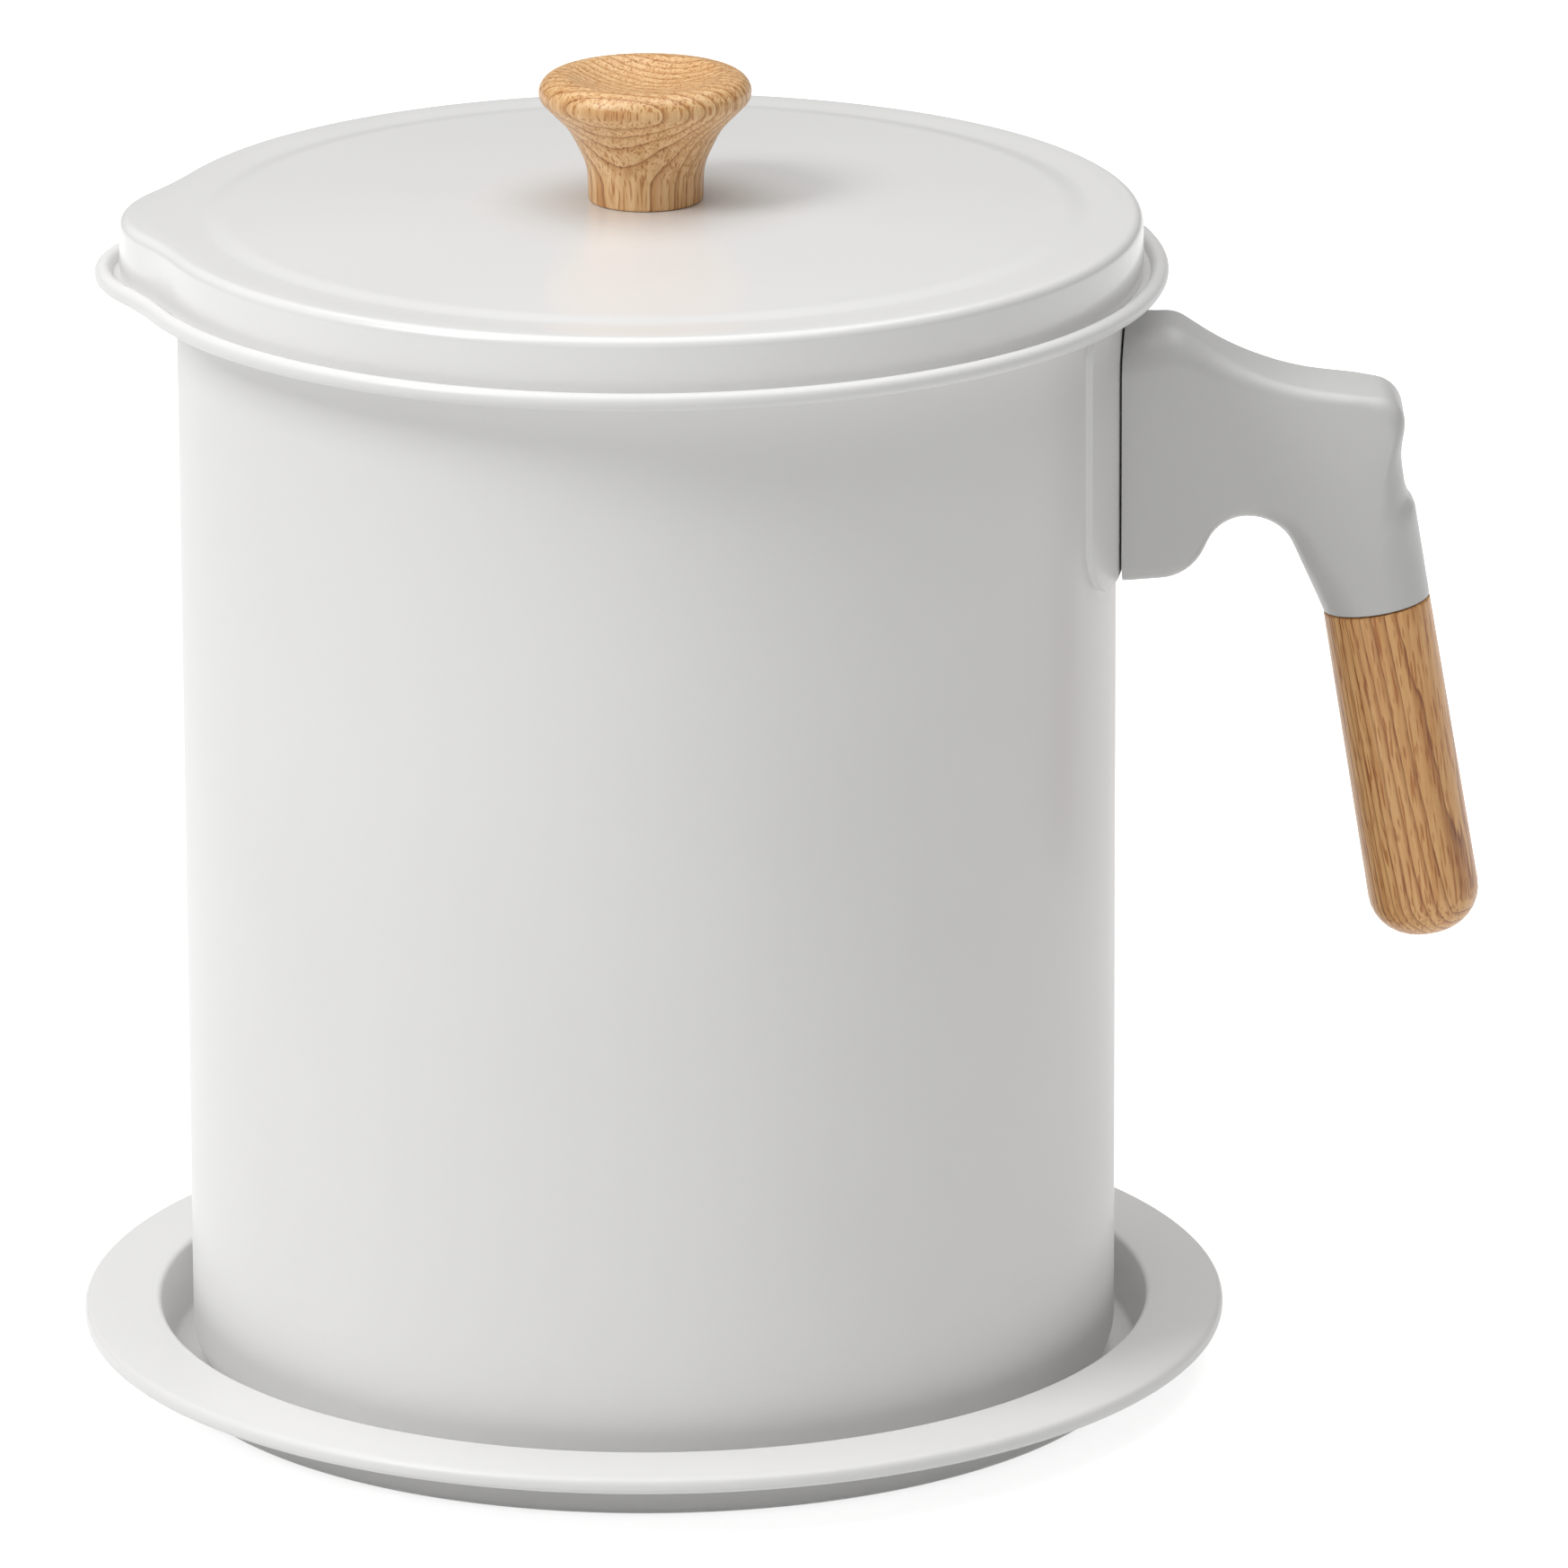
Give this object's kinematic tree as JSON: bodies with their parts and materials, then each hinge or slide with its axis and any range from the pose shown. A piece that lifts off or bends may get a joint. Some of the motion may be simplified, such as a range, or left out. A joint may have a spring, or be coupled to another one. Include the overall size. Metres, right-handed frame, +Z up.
{
  "type": "bacon grease container",
  "caption": "White coated grease keeper with a pouring beak, knobbed lid, side handle with a wooden grip, strainer and drip tray.",
  "frame": {"origin": "centre of the flat underside of the drip tray", "axes": "+Z up, +X towards the handle, the pouring beak at -X, +Y to the left of the handle seen from the pot"},
  "size_m": [0.1962, 0.1606, 0.186],
  "materials": {
    "white_coat": "satin powder coat",
    "arm_moulding": "satin",
    "grip_wood": "oiled",
    "knob_wood": "oiled",
    "strainer_steel": "brushed",
    "mesh_steel": "woven wire",
    "bail_steel": "drawn wire",
    "zinc_plate": "zinc plated",
    "brass": "turned"
  },
  "bodies": {
    "tray": {"drip_tray": "white_coat"},
    "pot": {"pot_shell": "white_coat", "handle_bracket": "white_coat", "handle_arm": "arm_moulding", "handle_screw": "zinc_plate", "handle_grip": "grip_wood", "grip_stud": "zinc_plate"},
    "strainer": {"strainer_frame": "strainer_steel", "strainer_mesh": "mesh_steel", "mesh_ring": "strainer_steel", "bail_lug_front": "strainer_steel", "bail_lug_rear": "strainer_steel"},
    "bail": {"strainer_bail": "bail_steel"},
    "lid": {"lid_shell": "white_coat", "lid_knob": "knob_wood", "knob_insert": "brass", "knob_washer": "zinc_plate", "knob_screw": "zinc_plate"}
  },
  "joints": [
    {"name": "pot_lift", "type": "slide", "parent": "tray", "child": "pot", "axis": [0, 0, 1], "range_m": [0, 0.06]},
    {"name": "strainer_lift", "type": "slide", "parent": "pot", "child": "strainer", "axis": [0, 0, 1], "range_m": [0, 0.12]},
    {"name": "lid_lift", "type": "slide", "parent": "strainer", "child": "lid", "axis": [0, 0, 1], "range_m": [0, 0.2]},
    {"name": "bail_swing", "type": "hinge", "parent": "strainer", "child": "bail", "pos_m": [0, 0, 0.1599], "axis": [0, -1, 0], "range_deg": [0, 180]}
  ],
  "couplings": [
    {"joint": "bail_swing", "follows": "lid_lift", "rad_per_m": 7.853}
  ]
}
